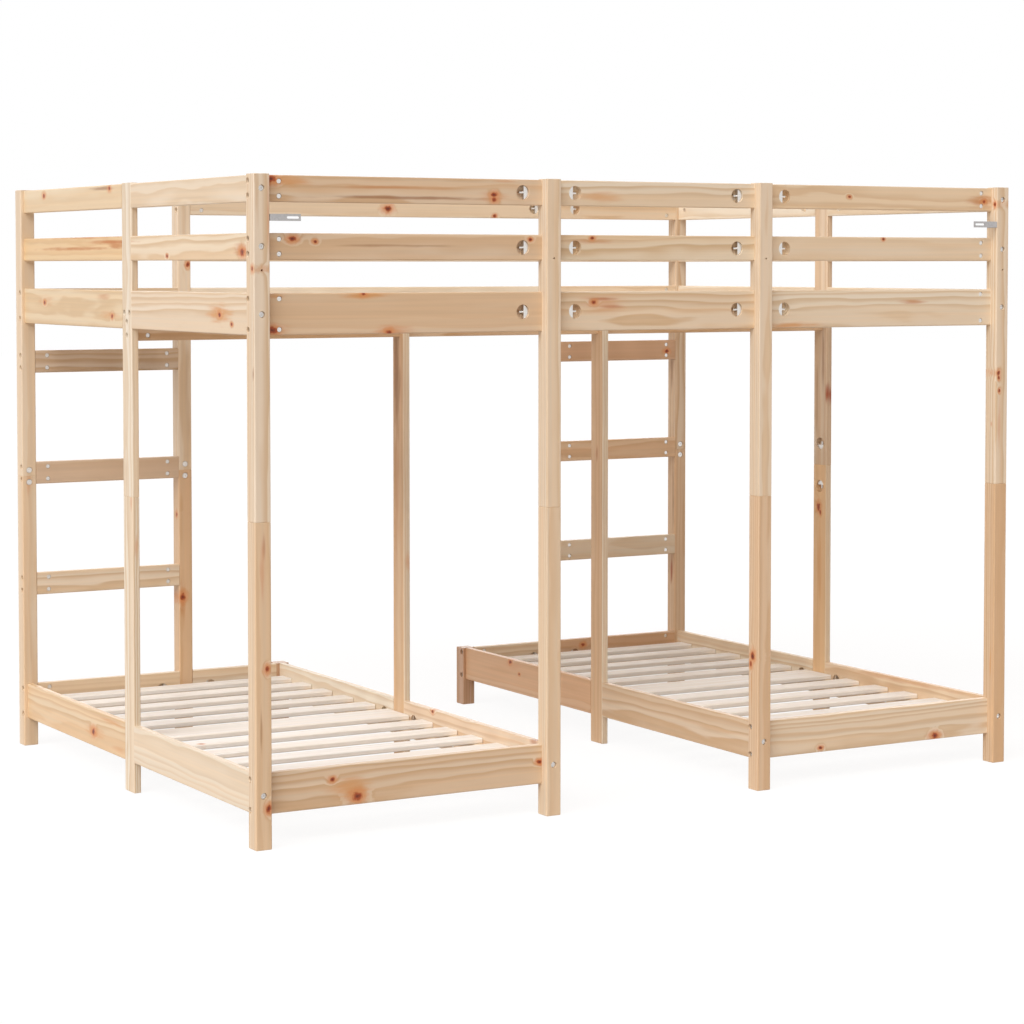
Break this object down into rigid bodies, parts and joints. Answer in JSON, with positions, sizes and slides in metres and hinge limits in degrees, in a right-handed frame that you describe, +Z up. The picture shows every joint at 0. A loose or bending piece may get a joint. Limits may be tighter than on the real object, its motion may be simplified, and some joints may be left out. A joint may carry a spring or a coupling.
{
  "type": "triple bunk bed",
  "caption": "Pine bunk bed with two single beds side by side below a wide upper bed, guard rails, two built-in ladders and wall brackets.",
  "frame": {"origin": "on the floor, under the middle of the frame", "axes": "+X along the long side, -Y toward the wall that the brackets face, +Z up"},
  "size_m": [2.072, 1.493, 1.45],
  "materials": {
    "pine_post": "planed, untreated",
    "pine_board": "planed, untreated",
    "pine_slat": "planed, untreated",
    "zinc_steel": "zinc plated",
    "galvanised_steel": "galvanised"
  },
  "bodies": {
    "root": {"barrel_nuts": "zinc_steel", "bed_mid_posts": "pine_post", "connector_bolts": "zinc_steel", "end_mid_posts_lower": "pine_post", "end_mid_posts_upper": "pine_post", "half_moon_nuts": "zinc_steel", "ladder_corner_post_left_lower": "pine_post", "ladder_corner_post_left_upper": "pine_post", "ladder_corner_post_right_lower": "pine_post", "ladder_corner_post_right_upper": "pine_post", "ladder_guards_middle": "pine_board", "ladder_guards_right": "pine_board", "ladder_inner_posts_lower": "pine_post", "ladder_inner_posts_upper": "pine_post", "ladder_low_rail_left": "pine_board", "ladder_low_rail_middle": "pine_board", "ladder_low_rail_right": "pine_board", "left_bed_centre_slat": "pine_slat", "left_bed_inner_rails": "pine_board", "left_bed_ladder_rails": "pine_board", "left_bed_ledges": "pine_board", "left_bed_outer_rails": "pine_board", "left_bed_slats": "pine_slat", "left_bed_wall_rail": "pine_board", "left_end_guards": "pine_board", "left_end_low_rails": "pine_board", "left_ladder_rungs": "pine_board", "mid_beam_cap": "pine_board", "mid_beam_uprights": "pine_board", "pan_head_screws": "zinc_steel", "post_joint_bolts": "zinc_steel", "post_joint_pins": "zinc_steel", "right_bed_centre_slat": "pine_slat", "right_bed_inner_rails": "pine_board", "right_bed_ladder_rails": "pine_board", "right_bed_ledges": "pine_board", "right_bed_outer_rails": "pine_board", "right_bed_slats": "pine_slat", "right_bed_wall_rail": "pine_board", "right_end_guards": "pine_board", "right_end_low_rails": "pine_board", "right_ladder_rungs": "pine_board", "short_legs": "pine_post", "threaded_rods": "zinc_steel", "upper_bed_ledges": "pine_board", "upper_bed_slats": "pine_slat", "wall_bracket_left": "galvanised_steel", "wall_bracket_right": "galvanised_steel", "wall_corner_post_left_lower": "pine_post", "wall_corner_post_left_upper": "pine_post", "wall_corner_post_right_lower": "pine_post", "wall_corner_post_right_upper": "pine_post", "wall_guards_left": "pine_board", "wall_guards_middle": "pine_board", "wall_guards_right": "pine_board", "wall_inner_posts_lower": "pine_post", "wall_inner_posts_upper": "pine_post", "wall_low_rail_left": "pine_board", "wall_low_rail_middle": "pine_board", "wall_low_rail_right": "pine_board"}
  },
  "joints": []
}
